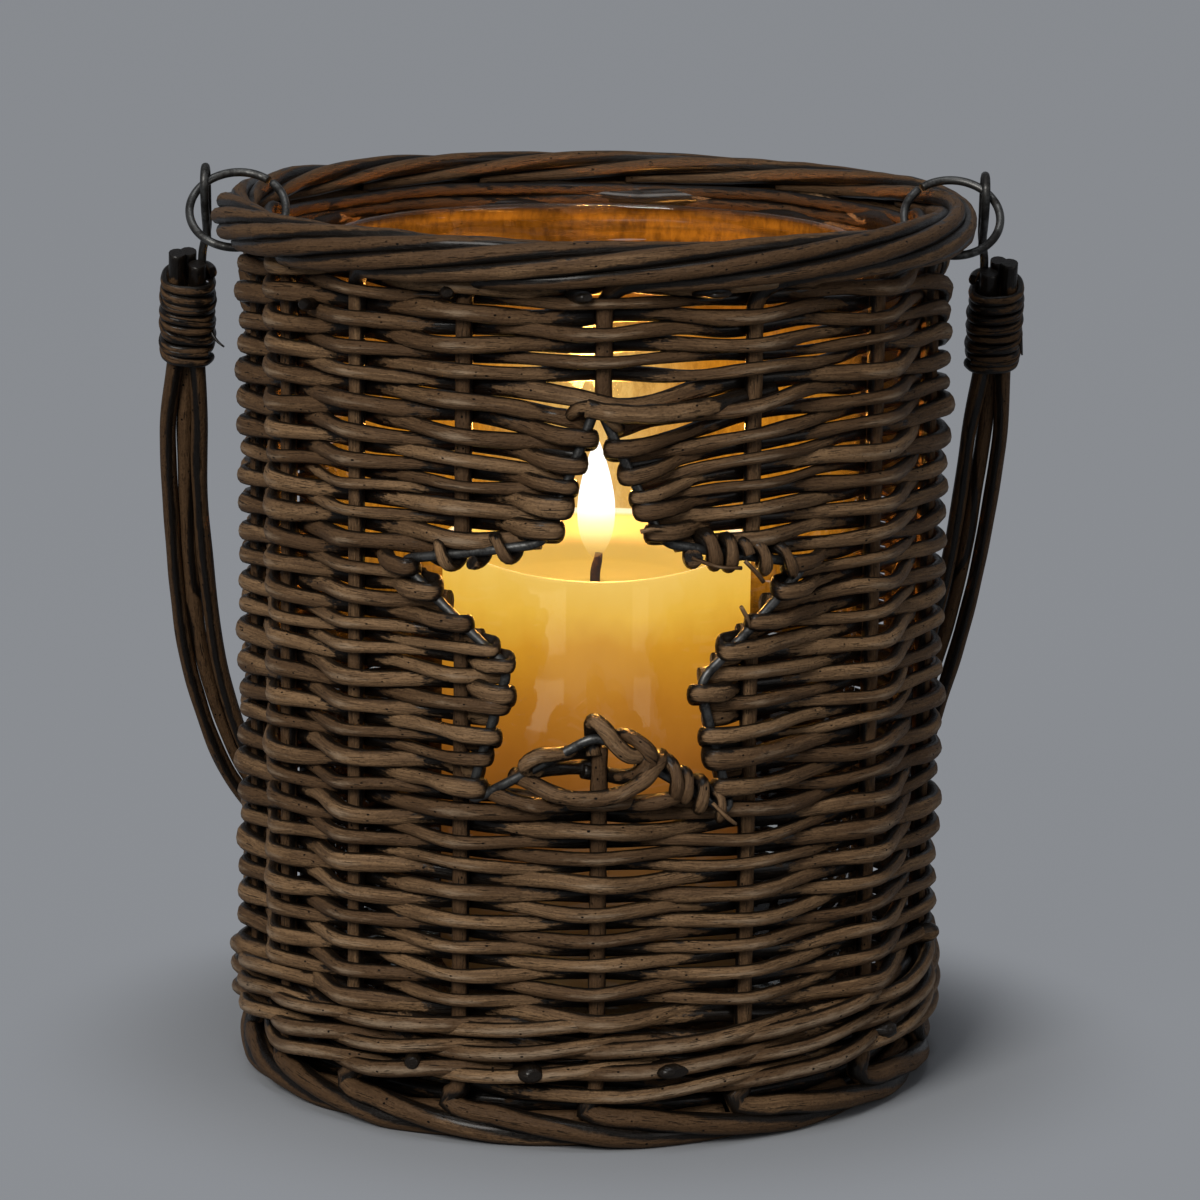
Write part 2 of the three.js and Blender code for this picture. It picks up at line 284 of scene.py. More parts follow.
def wander(length, amount, wave, seed):
    # A slow drift: five sines of nearby lengths with their own phases, added up
    dice = np.random.default_rng(seed)
    pace = dice.uniform(0.5, 1.5, 5) / wave
    phase = dice.uniform(0, 2 * np.pi, 5)
    return amount * np.sin(2 * np.pi * pace * np.asarray(length)[..., None] + phase).sum(-1) / 2.2


def lengthAt(path):
    # How far along a path each of its points lies: the sum of the steps before it
    return join([[0], np.cumsum(np.linalg.norm(np.diff(path, axis=0), axis=1))])


def evened(line, weights):
    # A weighted mean of each value and its neighbours, with the end values carried on
    return np.convolve(np.pad(line, len(weights) // 2, "edge"), weights / weights.sum(), "valid")


def smoothLine(points, step):
    # A cubic through the points: each piece leaves and meets them along the chord of their neighbours
    points = np.asarray(points, float)
    place = lengthAt(points)
    lean = np.gradient(points, place, axis=0)
    at = np.linspace(0, place[-1], max(4, int(round(place[-1] / step)) + 1))
    i = np.clip(np.searchsorted(place, at, side="right") - 1, 0, len(place) - 2)
    span = (place[i + 1] - place[i])[:, None]
    t = ((at - place[i])[:, None]) / span
    first = points[i] * (2 * t**3 - 3 * t**2 + 1) + lean[i] * span * (t**3 - 2 * t**2 + t)
    second = points[i + 1] * (3 * t**2 - 2 * t**3) + lean[i + 1] * span * (t**3 - t**2)
    return first + second


def bentCorners(before, corners, after, bend, count):
    # Each corner gives way to a parabola from a point before it to a point after it, at the bend's distance
    enter = corners + unit(before - corners) * bend
    leave = corners + unit(after - corners) * bend
    t = np.linspace(0, 1, count)[None, :, None]
    bent = enter[:, None] * (1 - t) ** 2 + corners[:, None] * 2 * t * (1 - t) + leave[:, None] * t**2
    return bent.reshape(-1, 2)


# How far apart two rods' grain is taken along and across, and the stain and painted shade on their upper and
# under sides
rodLook = {"along": 1000, "across": 40, "level": 0.36}


def asRod(path, radius, tone, stain=0.0, **more):
    # What rodSkin needs to know; more may give a guide, a width, an edge and the way the rod faces
    return dict(more, path=path, radius=radius, tone=tone, stain=stain)


def rodSkin(rod, sides):
    # A ring at each point of the path: a circle or oval in the plane across the path, its zero angle
    # towards the guide; the grain runs with the length, and the crest says how far a side faces out
    path, tone = rod["path"], rod["tone"]
    along = unit(np.gradient(path, axis=0))
    guide = np.broadcast_to(rod.get("guide", upward), path.shape)
    up = unit(guide - (guide * along).sum(-1, keepdims=True) * along)
    across = np.cross(along, up)
    radius = np.broadcast_to(np.asarray(rod["radius"], float), len(path))
    wide = radius * rod.get("wide", 1.0)  # wide may change along the rod
    turn = 2 * np.pi * np.arange(sides) / sides
    cosine, sine = np.cos(turn), np.sin(turn)
    reach = radius[:, None, None] * cosine[:, None] * up[:, None]
    reach = reach + wide[:, None, None] * sine[:, None] * across[:, None]
    mean = radius.mean()
    run = (lengthAt(path) + rodLook["along"] * tone)[:, None]
    grain = np.stack(np.broadcast_arrays(run, mean * cosine, mean * sine + rodLook["across"] * tone), -1)
    facing = np.broadcast_to(rod["facing"] if "facing" in rod else outOf(path), path.shape)
    crest = (unit(reach) * facing[:, None]).sum(-1) - rod.get("edge", 0.0)
    # The shade attribute's third value: stain and painted shade, raised on a rod's upper and under sides
    level = np.abs(unit(reach)[..., 2])
    stain = np.broadcast_to(np.asarray(rod["stain"], float), len(path))[:, None]
    shade = np.stack(np.broadcast_arrays(np.float64(tone), crest, stain + rodLook["level"] * level**2), -1)
    return path[:, None] + reach, grain, shade


def settle(name, mesh, finish, body, covers=()):
    mesh.materials.append(finish.owner)
    piece = added(name, mesh)
    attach(piece, body)
    if covers:
        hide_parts(*covers)
    return piece


def tubeMesh(name, places, counts, sides, roundEnds, extra=()):
    # Tubes in one mesh: ring to ring gives each tube's quads, and one face shuts each end
    firsts = join([[0], np.cumsum(counts)[:-1]]) * sides
    lasts = firsts + sides * (counts - 1)
    one = np.arange(sides)
    two = (one + 1) % sides
    quads = []
    for first, last in zip(firsts, lasts):
        ring = np.arange(first, last, sides)[:, None]
        quad = np.stack([ring + one, ring + two, ring + sides + two, ring + sides + one], -1)
        quads.append(quad.reshape(-1, 4))
    quads = join(quads)
    ends = join([firsts[:, None] + one[::-1], lasts[:, None] + one])
    mesh = bpy.data.meshes.new(name)
    mesh.from_pydata(places * millimetre, [], quads.tolist() + ends.tolist())
    smooth = join([np.ones(len(quads), bool), np.full(len(ends), roundEnds)])
    mesh.polygons.foreach_set("use_smooth", smooth)
    for title, values in extra:
        layer = mesh.attributes.new(title, "FLOAT_VECTOR", "POINT")
        layer.data.foreach_set("vector", values.astype(np.float32).ravel())
    return mesh


def weldRods(name, rods, body, covers=(), sides=12, finish=None):
    # Rods side by side in one mesh, each with a flat cut at its ends, of willow unless told otherwise
    skins = [rodSkin(rod, sides) for rod in rods]
    counts = np.array([len(skin[0]) for skin in skins])
    places, grain, shade = (join([skin[i].reshape(-1, 3) for skin in skins]) for i in range(3))
    extra = (("grain", grain * millimetre), ("shade", shade))
    mesh = tubeMesh(name, places, counts, sides, False, extra)
    return settle(name, mesh, finish or willow, body, covers)


def turnPiece(name, profile, finish, body, covers, segments, shift=(0, 0, 0), dip=None):
    # A turned piece: the profile's radius and height carried round the axis, with a small cap at each end
    angle = 2 * np.pi * np.arange(segments) / segments
    places = around(profile[:, :1], angle[None, :], profile[:, 1:])
    if dip is not None:
        places[..., 2] -= dip(angle[None, :], profile[:, 1:])
    places = (places + np.asarray(shift)).reshape(-1, 3)
    mesh = tubeMesh(name, places, np.array([len(profile)]), segments, True)
    return settle(name, mesh, finish, body, covers)


# Finishes

willowLook = {
    "mid": tint(84, 63, 43),
    "tan": tint(127, 100, 72),
    "scuffAndHighlight": tint(156, 137, 115),
    "deep": tint(46, 31, 19),
    "stain": tint(6, 5, 4),
}


def makeWillow():
    look = newFinish("stainedWillow")
    grain = look.stored("grain")
    tone, crest, stain = look.parts(look.stored("shade"))
    streak = look.noise(grain, (60, 1300, 1300), 4, 0.62)
    blotch = look.noise(grain, (55, 280, 280))
    hair = look.noise(grain, (240, 4200, 4200))
    smear = look.noise(grain, (150, 460, 460), 4, 0.7)
    grit = look.noise(grain, (1300, 1700, 1700), 3, 0.65)
    cells = {"Vector": look.scaled(grain, (380, 520, 520)), "Scale": 1}
    cell = look.node("TexVoronoi", cells, {"feature": "F1"}).socket.node.outputs
    pick = look.parts(Flow(look, cell["Color"]))[0]
    dot = (1 - Flow(look, cell["Distance"]).eased(0.09, 0.16)) * pick.eased(0.64, 0.68)
    # Bark from mid to tan by blotches and by rod, darker in its worn streaks and grit
    warm = (0.42 + 1.4 * (blotch - 0.5) + 0.8 * (streak - 0.5) + 0.9 * (tone - 0.5)).eased(0.05, 0.95)
    colour = look.mixed(warm, willowLook["mid"], willowLook["tan"])
    worn = (streak + 0.45 * (hair - 0.5)).eased(0.6, 0.36)
    for share in (tone.eased(0.0, -1.0) * 0.8, worn * 0.4, grit.eased(0.48, 0.72) * 0.55):
        colour = look.mixed(share, colour, willowLook["deep"])
    # Paler on the crests that face out: partly wear, partly a painted highlight
    scuffAndHighlight = (crest - 0.45 * stain + 0.5 * (smear - 0.5)).eased(0.88, 1.16)
    colour = look.mixed(scuffAndHighlight * 0.5, colour, willowLook["scuffAndHighlight"])
    crack = (hair + 0.6 * (streak - 0.5)).eased(0.63, 0.69) * 0.8
    # Stain and painted shade lie where rods touch: on the sides of a rod and where it dives behind the next,
    # darkening the creases as shade would
    side = 1 - (abs(crest) + 0.6 * (smear - 0.5)).eased(0.28, 0.58)
    tuckedStainAndShade = (stain + 1.1 * (smear - 0.5)).eased(0.48, 0.62)
    blackStainAndShade = (side + tuckedStainAndShade - side * tuckedStainAndShade) * 0.95
    for share in (crack, blackStainAndShade, dot):
        colour = look.mixed(share, colour, willowLook["stain"])
    rough = 0.58 + 0.25 * (streak - 0.5) - 0.2 * blackStainAndShade
    height = streak * 0.6 + hair * 0.3 + smear * 0.8 - grit * 0.4 - dot * 0.8 - blackStainAndShade * 0.25 - crack * 0.4
    look.showSolid({"Base Color": colour, "Roughness": rough, "Normal": look.bump(0.9, 0.0006, height),
                    "Specular IOR Level": 0.1, "Coat Weight": blackStainAndShade * 0.2, "Coat Roughness": 0.2})
    return look


steelLook = {"bright": tint(74, 74, 73), "dull": tint(36, 35, 34)}


def makeSteel():
    look = newFinish("darkWire")
    spot = look.spot()
    patch = look.noise(spot, (240, 240, 240), 3, 0.6)
    fine = look.noise(spot, (1900, 1900, 1900))
    dull = (patch + 0.3 * (fine - 0.5)).eased(0.38, 0.66)
    colour = look.mixed(dull, steelLook["bright"], steelLook["dull"])
    look.showSolid({"Base Color": colour, "Roughness": 0.4 + 0.2 * dull, "Metallic": 0.85,
                    "Normal": look.bump(0.25, 0.0001, fine + patch)})
    return look


glassLook = {
    "clear": (0.975, 0.98, 0.97, 1.0),
    "pale": (tint(222, 150, 52), tint(255, 216, 132)),  # the painted glow, between and on its beads
    "amber": (tint(160, 82, 8), tint(240, 160, 44)),
    "orange": (tint(112, 50, 4), tint(214, 128, 34)),
    "flame": 0.14,  # height that the flame's painted halo centres on
}


def makeGlass():
    look = newFinish("clearGlass")
    through = look.node("BsdfTransparent", {"Color": glassLook["clear"]})
    sheen = look.node("BsdfGlossy", {"Color": (1, 1, 1, 1), "Roughness": 0.03})
    # As much gloss from inside the wall as from outside, rising steeply at a glance
    share = 0.03 + 0.75 * look.node("LayerWeight", {"Blend": 0.5}, None, 1) ** 4.5
    clear = look.blend(share, through, sheen)
    # Painted light at the back of the glass: the flame's glow and the lit wall's reflection, painted as
    # emission, uneven and beaded
    spot = look.spot()
    x, y, z = look.parts(spot)
    bead = look.noise(spot, (420, 420, 200), 4, 0.7)
    cloud = look.noise(spot, (60, 60, 40))
    near = y.eased(-0.01, 0.06) * z.eased(0.1, 0.14) * (1 - z.eased(0.2125, 0.2165))
    drawn = look.noise(spot, (30, 30, 260)).eased(0.42, 0.68)
    paintedGlow = near * (0.25 + 0.5 * cloud + 0.5 * bead.eased(0.35, 0.7)).eased(0.05, 1.0)
    paintedGlow = paintedGlow * (1 - z.eased(0.176, 0.2) * (0.75 - 0.65 * drawn))
    # A painted reflection of the flame, round its height near the middle
    paintedHalo = near * (1 - abs(x).eased(0.0, 0.034)) * (1 - abs(z - glassLook["flame"]).eased(0.0, 0.04))
    paintedGlow = paintedGlow + paintedHalo * (1 - paintedGlow) * 0.7
    # Pale before the flame, amber beside it and orange above
    pale, amber, orange = (look.mixed(bead, *glassLook[key]) for key in ("pale", "amber", "orange"))
    colour = look.mixed(abs(x).eased(0.004, 0.034), pale, amber)
    colour = look.mixed(z.eased(0.172, 0.192), colour, orange)
    glow = look.node("Emission", {"Color": colour})
    look.show(look.blend(paintedGlow * 0.88, clear, glow))
    return look


willow = makeWillow()
steel = makeSteel()
glass = makeGlass()
print("willow, wire and glass finishes are mixed")


# Stakes with their rolled borders

basket = {
    "stakes": 15,
    "circle": 86.5,
    "front": 1.8,  # degrees to the right of the middle where the front stake stands
    "crowding": 13.0,
    "thick": 2.85,  # rod radius in the foot border, in the wall and in the rim border
    "upright": 2.15,
    "slim": 2.2,
    "tip": 0.62,  # share of the radius left at the rim end, reached over the last length
    "tipLength": 60,
    "lowKnots": (15.5, 18.0, 22.0, 30.0),  # heights that hold a stake upright
    "highKnots": (196.0, 203.0, 207.0),
}
wall, stakes = basket["circle"], basket["stakes"]
halfRound = stakes / 2
rim = {"radius": 92.0, "height": 221.5, "coil": 4.02, "from": -100, "turn": 60, "passes": 5.2,
       "leaves": 210.3, "lean": 0.009}
foot = {"radius": 84.5, "height": 6.4, "coil": 3.95, "from": 44, "turn": -74, "passes": 2.9,
        "leaves": 13.4, "lean": -0.1}


def stakeAngle(count):
    # Stakes follow each other evenly, then crowd together to the left by a cosine
    even = np.radians(360 / stakes * np.asarray(count, float))
    return np.radians(basket["front"]) + even + np.radians(basket["crowding"]) * (1 - np.cos(even))


def borderRun(border, stake):
    # A stake's end in a border: an elbow out of the upright, then a coil about the border's core, which
    # turns by a set angle for each stake that it passes and tucks its end into the core
    def coil(passed):
        turn = np.radians(border["from"] + border["turn"] * passed)
        drift = wander(10.0 * passed, 0.3, 22, 120 + stake + border["turn"]) * soften(passed, 0.2, 1)
        tuck = 1 - 0.6 * soften(passed, border["passes"] - 1, border["passes"])
        reach = (border["coil"] + drift) * tuck
        return np.stack([border["radius"] + reach * np.cos(turn), stakeAngle(stake + passed),
                         border["height"] + reach * np.sin(turn)], -1)

    meets = 0.3  # stakes passed where the elbow runs into the coil
    start = np.array([wall, stakeAngle(stake), border["leaves"]])
    end = coil(np.array(meets))
    corner = np.array([start[0] + (end[0] - start[0]) * 0.25, start[1] + border["lean"], end[2]])
    t = np.linspace(0, 1, 6)[:-1, None]
    elbow = (start * (1 - t) + corner * t) * (1 - t) + (corner * (1 - t) + end * t) * t
    run = join([elbow, coil(np.linspace(meets, border["passes"], 26))])
    return around(run[:, 0], run[:, 1], run[:, 2])


starCorners = np.array([
    [36.2, 85.2], [2.1, 106.2], [-29.9, 87.6], [-19.7, 122.2], [-48.9, 146.8],
    [-11.3, 153.4], [1.3, 188.0], [17.6, 153.6], [56.5, 146.1], [27.2, 118.8],
])
star = {"circle": 90.3, "wire": 1.25, "bend": 4.0, "gap": 0.8}  # the gap is left between the wire's ends


def starOutline(count):
    # The star's line: each corner bent round by a parabola, then spaced evenly along its length
    before, after = np.roll(starCorners, 1, 0), np.roll(starCorners, -1, 0)
    line = bentCorners(before, starCorners, after, star["bend"], 9)
    line = join([line, line[:1]])
    place = lengthAt(line)
    at = np.linspace(0, place[-1] - star["gap"], count)
    return np.stack([np.interp(at, place, line[:, i]) for i in range(2)], -1)


def onWall(across, height, radius):
    return around(radius, np.asarray(across) / star["circle"], height)


def inStar(across, height):
    # A point is in the star when a line from it to the right crosses the outline an odd number of times
    outline = starOutline(400)
    inside = np.zeros(np.shape(across), bool)
    for (x1, y1), (x2, y2) in zip(outline, np.roll(outline, -1, 0)):
        hit = (y1 > height) != (y2 > height)
        inside ^= hit & (across < (x2 - x1) * (height - y1) / (y2 - y1 + 1e-12) + x1)
    return inside


def starGap(stake):
    # The heights between which the star stops a stake, or none
    height = np.linspace(60, 200, 1401)
    across = float(stakeAngle(stake)) * star["circle"]
    inside = height[inStar(np.full_like(height, across), height)] if abs(across) < 70 else []
    return (inside[0], inside[-1]) if len(inside) else None


# Cut ends that show between the rods, dark with stain
cutStubs = rowsOf(
    "angle height rod wide out stain",
    (-26.9, 20.6, 2.2, 1.05, 1.2, 1.8),
    (-7.5, 20.5, 2.4, 1.45, 1.2, 1.8),
    (14.6, 21.3, 2.1, 2.3, 1.2, 1.8),
    (-22.0, 213.8, 1.7, 1.1, -0.5, 1.8),
    (-0.8, 213.9, 1.6, 1.5, -0.5, 1.8),
    (20.2, 214.4, 1.1, 3.2, 0, 1.8),
    (-50.5, 206.5, 1.6, 1.2, -0.6, 1.8),
    (80.0, 38.0, 2.5, 1.0, -0.8, 0.2),
    (58.0, 21.0, 2.2, 1.4, 0, 1.8),
    (150.0, 20.8, 2.3, 1.2, 0, 1.8),
    (-118.0, 21.2, 2.2, 1.5, 0, 1.8),
)
# Thin rods packed inside the stakes: two under the rim border, lifted clear of the rings, and two in the foot
packing = rowsOf(
    "circle arc height lift rod drift tone stain side seed",
    # The two under the rim are darkened by their low tone and stain, partly as painted shade inside the
    # basket
    (83.6, 84, 215.4, 6.0, 1.75, 0.3, -0.7, 0.4, -1, 71),
    (83.6, 84, 218.4, 4.0, 1.75, 0.3, -0.7, 0.4, -1, 72),
    (79.4, 80, 4.6, 0, 2.4, 0.2, -0.6, 0.6, 1, 73),
    (79.4, 80, 9.4, 0, 2.4, 0.2, -0.6, 0.6, 1, 74),
)


def stakeRod(end, stake, tone):
    # One length of a stake: thick in the foot, slimmer in the wall and thinning out along the rim
    path = smoothLine(end, 2.6)
    height = path[:, 2]
    lowPart, topPart = 1 - soften(height, 11, 17), soften(height, 209, 216)
    inWall = 1 - lowPart - topPart
    thick = basket["upright"] + (basket["thick"] - basket["upright"]) * lowPart
    thick = thick + (basket["slim"] - basket["upright"]) * topPart
    place = lengthAt(path)
    last = soften(place[-1] - place, 0, basket["tipLength"]) if end[-1, 2] > 200 else 1.0
    thick = thick * (basket["tip"] + (1 - basket["tip"]) * last) * (1 + wander(place, 0.035, 16, 170 + stake))
    path[:, 2] = np.maximum(path[:, 2], thick + 0.05)
    cores = [outOf(path) * border["radius"] + upward * border["height"] for border in (rim, foot)]
    core = np.where(height[:, None] > 100, *cores)
    facing = unit(path - core) * (1 - inWall)[:, None] + outOf(path) * inWall[:, None]
    # Darker where a stake stands in the wall among the rows, partly stain and partly painted shade; in the
    # borders its sides are judged from the coil's core, so both lie between the strands
    stain = 0.36 * inWall + 0.14 * topPart + 0.06 * lowPart
    edge = 0.18 * (1 - inWall)[:, None]
    return asRod(path, thick, tone, stain, guide=outOf(path), facing=unit(facing + 1e-9), edge=edge)


def upright(stake, *heights):
    return around(wall, stakeAngle(stake), np.array(heights))


def makeStakes():
    rods = []
    names = []
    dice = np.random.default_rng(11)
    for stake in range(-7, 8):
        label = "stake_%02d" % (stake % stakes + 1)
        low = join([borderRun(foot, stake)[::-1], upright(stake, *basket["lowKnots"])])
        high = join([upright(stake, *basket["highKnots"]), borderRun(rim, stake)])
        hole = starGap(stake)
        if hole:
            ends = [join([low, upright(stake, hole[0] - 2.6)]),
                    join([upright(stake, hole[1] - 0.6), high])]
            names += [label + "_lower", label + "_upper"]
        else:
            ends = [join([low, high])]
            names.append(label)
        tone = 0.7 * dice.uniform() - 0.35
        rods += [stakeRod(end, stake, tone) for end in ends]
    t = np.linspace(0, 1, 10)
    for stub in cutStubs:
        angle = np.radians(stub["angle"] - 2.5 * (1 - t))
        path = around(86.0 + (7.3 + stub["out"]) * t, angle, stub["height"] - 0.6 * (1 - t))
        blunt = stub["rod"] * (1 - 0.5 * soften(t, 0.72, 1.0) ** 2)
        rods.append(asRod(path, blunt, dice.uniform(), stub["stain"], wide=stub["wide"]))
    angle = np.linspace(0, 2 * np.pi, 241)
    fromRing = np.abs(np.abs(np.degrees(np.angle(np.exp(1j * angle)))) - 89.3)
    for rod in packing:
        atRing = (rod["lift"] > 0) * (1 - soften(fromRing, 6.0, 17.0))
        arc = rod["arc"] * angle
        reach = rod["circle"] + wander(arc, 0.25, 60, rod["seed"]) * (1 - atRing)
        height = rod["height"] + rod["lift"] * atRing
        height = height + wander(arc, rod["drift"], 70, rod["seed"] + 5) * (1 - atRing)
        path = around(reach, angle, height)
        path[-1] = path[0]
        radius = rod["rod"] - 0.5 * atRing
        rods.append(asRod(path, radius, rod["tone"], rod["stain"], facing=rod["side"] * outOf(path)))
    return weldRods("stakes_and_borders", rods, "basket", names)


makeStakes()
print("stakes and borders are in")


# Woven siding

siding = {
    "low": 32.1,
    "pitch": 3.4212,
    "rows": 54,
    "steps": 12,  # path points from stake to stake
    "butt": (2.0, 2.5),  # rod radius at its thick end
    "tip": (1.3, 1.7),
    "rod": (0.8, 1.6),  # rod length in rounds of the basket
    "lead": 1.2,  # rounds by which the first rod starts early
    "level": 2.6,  # rows over which thick and thin rods level out
    "straight": 0.985,  # how straight a rod runs from bend to bend, 1 for a zigzag
    "swing": 2.0,  # how far a rod swings out and in, before its own radius is added
    "chord": 1.2,  # how far a rod cuts the corner between stakes
}


def stackRows():
    # Rods follow one another up an even spiral, thick end to thin. A row lies higher or lower than its
    # place by the sum of the radii near it, so thick rods push their neighbours apart
    dice = np.random.default_rng(5)
    rows, pitch = siding["rows"], siding["pitch"]
    each = stakes * siding["steps"]
    turn = np.arange(rows * each + 1) / each
    starts = np.cumsum(dice.uniform(*siding["rod"], 2 * rows)) - siding["lead"]
    row = np.floor(starts)
    count = np.round((starts - row) * stakes - halfRound)
    count = count + ((count + row) % 2 == 0)  # a new rod starts behind a stake
    starts = np.sort(row + (count + halfRound) / stakes)
    which = np.clip(np.searchsorted(starts, turn, side="right") - 1, 0, len(starts) - 2)
    share = np.clip((turn - starts[which]) / (starts[which + 1] - starts[which]), 0, 1)
    butt = dice.uniform(*siding["butt"], len(starts))[which]
    tip = dice.uniform(*siding["tip"], len(starts))[which]
    radius = evened(butt + (tip - butt) * share, np.ones(5))
    tone = dice.uniform(0, 1, len(starts))[which]
    number = np.arange(rows)[:, None]
    grid = number * each + np.arange(each + 1)
    thick = radius[grid]
    pile = np.cumsum(join([thick[:1], thick[1:] + thick[:-1]]), 0)
    count = np.linspace(-halfRound, halfRound, each + 1)
    even = siding["low"] + pitch * (number + 0.5 + count / stakes)
    push = pile / (pile[-1] + thick[-1]) * pitch * rows - even + even[:1]
    blur = np.exp(-0.5 * ((number - number.T) / siding["level"]) ** 2)
    height = even + push - (blur / blur.sum(1, keepdims=True)) @ push
    flat = join([height[:, :-1].ravel(), height[-1, -1:]])
    flat = evened(flat, np.exp(-0.5 * (np.arange(-18, 19) / 7.0) ** 2))
    return count, flat[grid], thick, tone[grid]


rowCount, rowHeight, rowRadius, rowTone = stackRows()


def sagged(across, height):
    # Rows sink towards the star's tip by a bell, more on its right, and close up again above and below
    amount = (4.0 + 3.5 * soften(across, -4, 8)) * np.exp(-(((across - 2) / 30.0) ** 2))
    return height - amount * soften(height, 152, 178) * (1 - soften(height, 184, 200))


def rowLine(row, count):
    # A siding row: it swings out in front of one stake and in behind the next, nearly straight from
    # bend to bend, and cuts the corners of the round between them
    radius = np.interp(count, rowCount, rowRadius[row])
    angle = stakeAngle(count)
    length = wall * angle
    swing = np.arcsin(siding["straight"] * np.cos(np.pi * (count + row))) / np.arcsin(siding["straight"])
    reach = (siding["swing"] + 0.95 * radius) * swing - siding["chord"] * np.sin(np.pi * count) ** 2
    reach = reach + wander(length, 0.25, 45, 700 + row)
    height = np.interp(count, rowCount, rowHeight[row]) + wander(length, 0.5, 50, 300 + row)
    # Behind a stake, and all round the back, rods lie pressed flat and close the gaps
    back = soften(np.abs(count), 2.0, 4.0)
    pressed = np.maximum(-swing, 0) * (1 - back) + (0.4 + 0.6 * np.abs(swing)) * back
    wide = 1 / (1 + (0.24 + 0.12 * back) * pressed)
    # Rods at the upper right of the front are slimmer
    slim = 1 - 0.1 * soften(height, 130, 160) * (1 - back) * soften(angle, -0.2, 0.3)
    radius = radius * 1.04 / wide * slim * (1 + wander(length, 0.07, 25, 500 + row))
    # The top rows dip by a bell to leave room for each ring, a little more on the right
    dip = 6.0 + 2.2 * soften(angle, -0.5, 0.5)
    dip = dip * np.exp(-(((np.abs(np.degrees(angle)) - 90.6) / 7.0) ** 2)) * soften(height, 172, 214)
    height = sagged(angle * star["circle"], height - dip)
    tone = np.interp(count, rowCount, rowTone[row])
    # The fifth value darkens a rod where it swings in behind a stake: stain and painted shade
    return wall + reach, angle, height, radius, 0.3 - 0.5 * swing, tone, wide


# A fold round the star's wire: how flat the rod gets, how far it runs back behind the wire, in towards
# the glass and up or down, and how much the press widens it
fold = {"flat": 0.55, "back": 11, "inward": 3.6, "lift": 3.2, "swell": 0.16}


def rowRod(row, count, foldAt=None):
    # A row between two counts. At the star it either passes in front of the wire, folds flat round it
    # and runs back behind, or stops behind the wire
    reach, angle, height, radius, stain, tone, wide = rowLine(row, count)
    if foldAt is not None:
        edge, inFront, toRight = foldAt
        sign = 1 if toRight else -1  # the way the row runs into the star
        _, angleEdge, heightEdge, radiusEdge = [v.item() for v in rowLine(row, np.array([edge]))[:4]]
        circle, flat, swell = star["circle"], fold["flat"], fold["swell"]
        grip = star["wire"] + radiusEdge * (flat if inFront else 0.9)
        ahead = np.abs(angle - angleEdge) * circle
        near = 1 - soften(ahead, 1.0, 14)
        reach = reach + (circle + (grip if inFront else -grip) - reach) * near
        radius = radius * (1 + swell * near)
        stain = stain * (1 - near) + 0.2 * near
        if inFront:
            wide = wide - (wide - flat) * (1 - soften(ahead, 0, 7))
            bend = np.linspace(0, np.pi, 13)[1:]
            back = np.linspace(0, 1, 6)[1:]
            bent = np.ones(len(bend))
            lift = fold["lift"] if (row // 2) % 2 else -fold["lift"]
            push = join([grip * np.sin(bend) ** 0.8, -fold["back"] * back])
            rises = join([soften(bend, 0.9, np.pi) * 0.5, 0.5 + 0.5 * back])
            # The fold's back run behind the wire is darker: stain and painted shade
            ends = (
                join([circle + grip * np.cos(bend), circle - grip - fold["inward"] * back]),
                angleEdge + sign * push / circle,
                heightEdge + lift * rises,
                radiusEdge * (1 + swell) * join([bent, 1 - 0.45 * back]),
                join([0.2 + 0.5 * soften(bend, 1.2, 3), 0.8 * np.ones(len(back))]),
                join([flat * bent, flat + (1 - flat) * back]),
            )
            lines = (reach, angle, height, radius, stain, wide)
            joined = [join([line[::sign], end])[::sign] for line, end in zip(lines, ends)]
            reach, angle, height, radius, stain, wide = joined
    return asRod(around(reach, angle, height), radius, float(np.median(tone)), stain, wide=wide)


def starSpan(row):
    # Where a row meets the star: the first and last count inside it, or none
    fine = np.linspace(-2.6, 2.6, 2601)
    angle, height = rowLine(row, fine)[1:3]
    inside = fine[inStar(angle * star["circle"], height)]
    return (inside[0], inside[-1]) if len(inside) else None


def frontAt(row, edge, toRight):
    # Over the wire if the row went behind its last stake, unless that stake is too near
    last = np.floor(edge) if toRight else np.ceil(edge)
    behind = (last + row) % 2 == 1
    return bool(behind) if abs(edge - last) > 0.33 else not behind


def makeSiding():
    bands = {"siding_lower": [], "siding_star": [], "siding_upper": []}
    for row in range(siding["rows"]):
        span = starSpan(row)
        if span is None:
            band = "siding_lower" if rowHeight[row].mean() < 130 else "siding_upper"
            bands[band].append(rowRod(row, rowCount))
            continue
        left, right = span
        leftPart = join([rowCount[rowCount < left - 0.03], [left]])
        rightPart = join([[right], rowCount[rowCount > right + 0.03]])
        for edge, count, toRight in ((left, leftPart, True), (right, rightPart, False)):
            bands["siding_star"].append(rowRod(row, count, (edge, frontAt(row, edge, toRight), toRight)))
    for name, rods in bands.items():
        weldRods(name, rods, "basket", ("siding_weave",) if name == "siding_star" else ())


makeSiding()
print("siding is woven")


# Upsett wale

wale = {"low": 15.8, "pitch": 1.95, "rows": 9, "radius": (1.6, 2.15), "out": 0.9, "swing": 4.3, "rise": 1.9}


